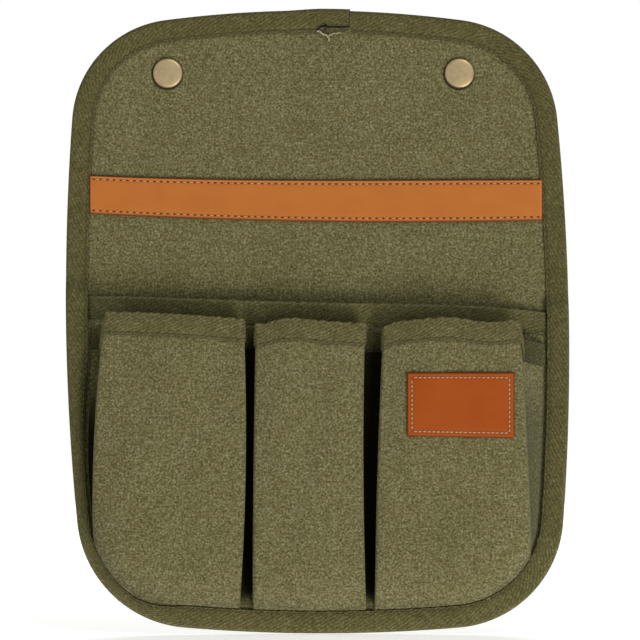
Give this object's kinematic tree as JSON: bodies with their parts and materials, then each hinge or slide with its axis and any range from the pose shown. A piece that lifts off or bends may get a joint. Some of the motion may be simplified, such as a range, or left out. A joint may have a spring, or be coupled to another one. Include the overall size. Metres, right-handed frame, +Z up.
{
  "type": "camp chair armrest organizer",
  "caption": "Bound canvas panel that folds over a chair armrest and snaps closed behind it, with a flat pocket and bellows pockets on its front.",
  "frame": {"origin": "on the back of the lining, at the middle of its width, halfway between the fold line and the studs, where the armrest's outer side bears", "axes": "+Z up the panel towards the flap, +Y out of the back of the panel towards the armrest, -Y the front with the pockets, +X to the viewer's right as seen from the front"},
  "size_m": [0.2903, 0.0347, 0.3602],
  "materials": {
    "waxed_olive_canvas": "waxed canvas",
    "olive_lining": "plain woven",
    "olive_twill_binding": "twill weave",
    "olive_twill_tape": "twill weave",
    "tan_leather": "smooth, satin",
    "rust_leather": "smooth, satin",
    "antique_brass": "antique, satin",
    "spring_steel": "drawn wire"
  },
  "bodies": {
    "panel": {"binding_main": "olive_twill_binding", "leather_strip_lower": "tan_leather", "lining_main": "olive_lining", "panel_main": "waxed_olive_canvas", "pleat_left_edge": "waxed_olive_canvas", "pleat_left_edge_tape": "olive_twill_tape", "pleat_left_gap": "waxed_olive_canvas", "pleat_left_gap_tape": "olive_twill_tape", "pleat_right_edge": "waxed_olive_canvas", "pleat_right_edge_tape": "olive_twill_tape", "pleat_right_gap": "waxed_olive_canvas", "pleat_right_gap_tape": "olive_twill_tape", "snap_post_left": "antique_brass", "snap_post_right": "antique_brass", "snap_stud_left": "antique_brass", "snap_stud_right": "antique_brass", "wide_pocket": "waxed_olive_canvas", "wide_pocket_tape": "olive_twill_tape"},
    "flap": {"lining_flap": "olive_lining", "panel_flap": "waxed_olive_canvas", "binding_flap": "olive_twill_binding", "binding_lap": "olive_twill_binding", "leather_strip_upper": "tan_leather", "snap_cap_left": "antique_brass", "snap_cap_right": "antique_brass", "snap_socket_left": "antique_brass", "snap_socket_right": "antique_brass", "snap_spring_left": "spring_steel", "snap_spring_right": "spring_steel"},
    "left_pocket": {"pocket_left": "waxed_olive_canvas", "pocket_left_tape": "olive_twill_tape"},
    "middle_pocket": {"pocket_middle": "waxed_olive_canvas", "pocket_middle_tape": "olive_twill_tape"},
    "right_pocket": {"pocket_right": "waxed_olive_canvas", "pocket_right_tape": "olive_twill_tape", "label_patch": "rust_leather"}
  },
  "joints": [
    {"name": "flap_fold", "type": "hinge", "parent": "panel", "child": "flap", "pos_m": [0, 0.0031, 0.0365], "axis": [-1, 0, 0], "range_deg": [0, 179.9], "deforming": ["snap_spring_left", "snap_spring_right"]},
    {"name": "pocket_left_open", "type": "hinge", "parent": "panel", "child": "left_pocket", "pos_m": [-0.0858, -0.0055, -0.1992], "axis": [1, 0, 0], "range_deg": [0, 6]},
    {"name": "pocket_middle_open", "type": "hinge", "parent": "panel", "child": "middle_pocket", "pos_m": [-0.00445, -0.0055, -0.1992], "axis": [1, 0, 0], "range_deg": [0, 6]},
    {"name": "pocket_right_open", "type": "hinge", "parent": "panel", "child": "right_pocket", "pos_m": [0.07915, -0.0055, -0.1992], "axis": [1, 0, 0], "range_deg": [0, 6]}
  ]
}
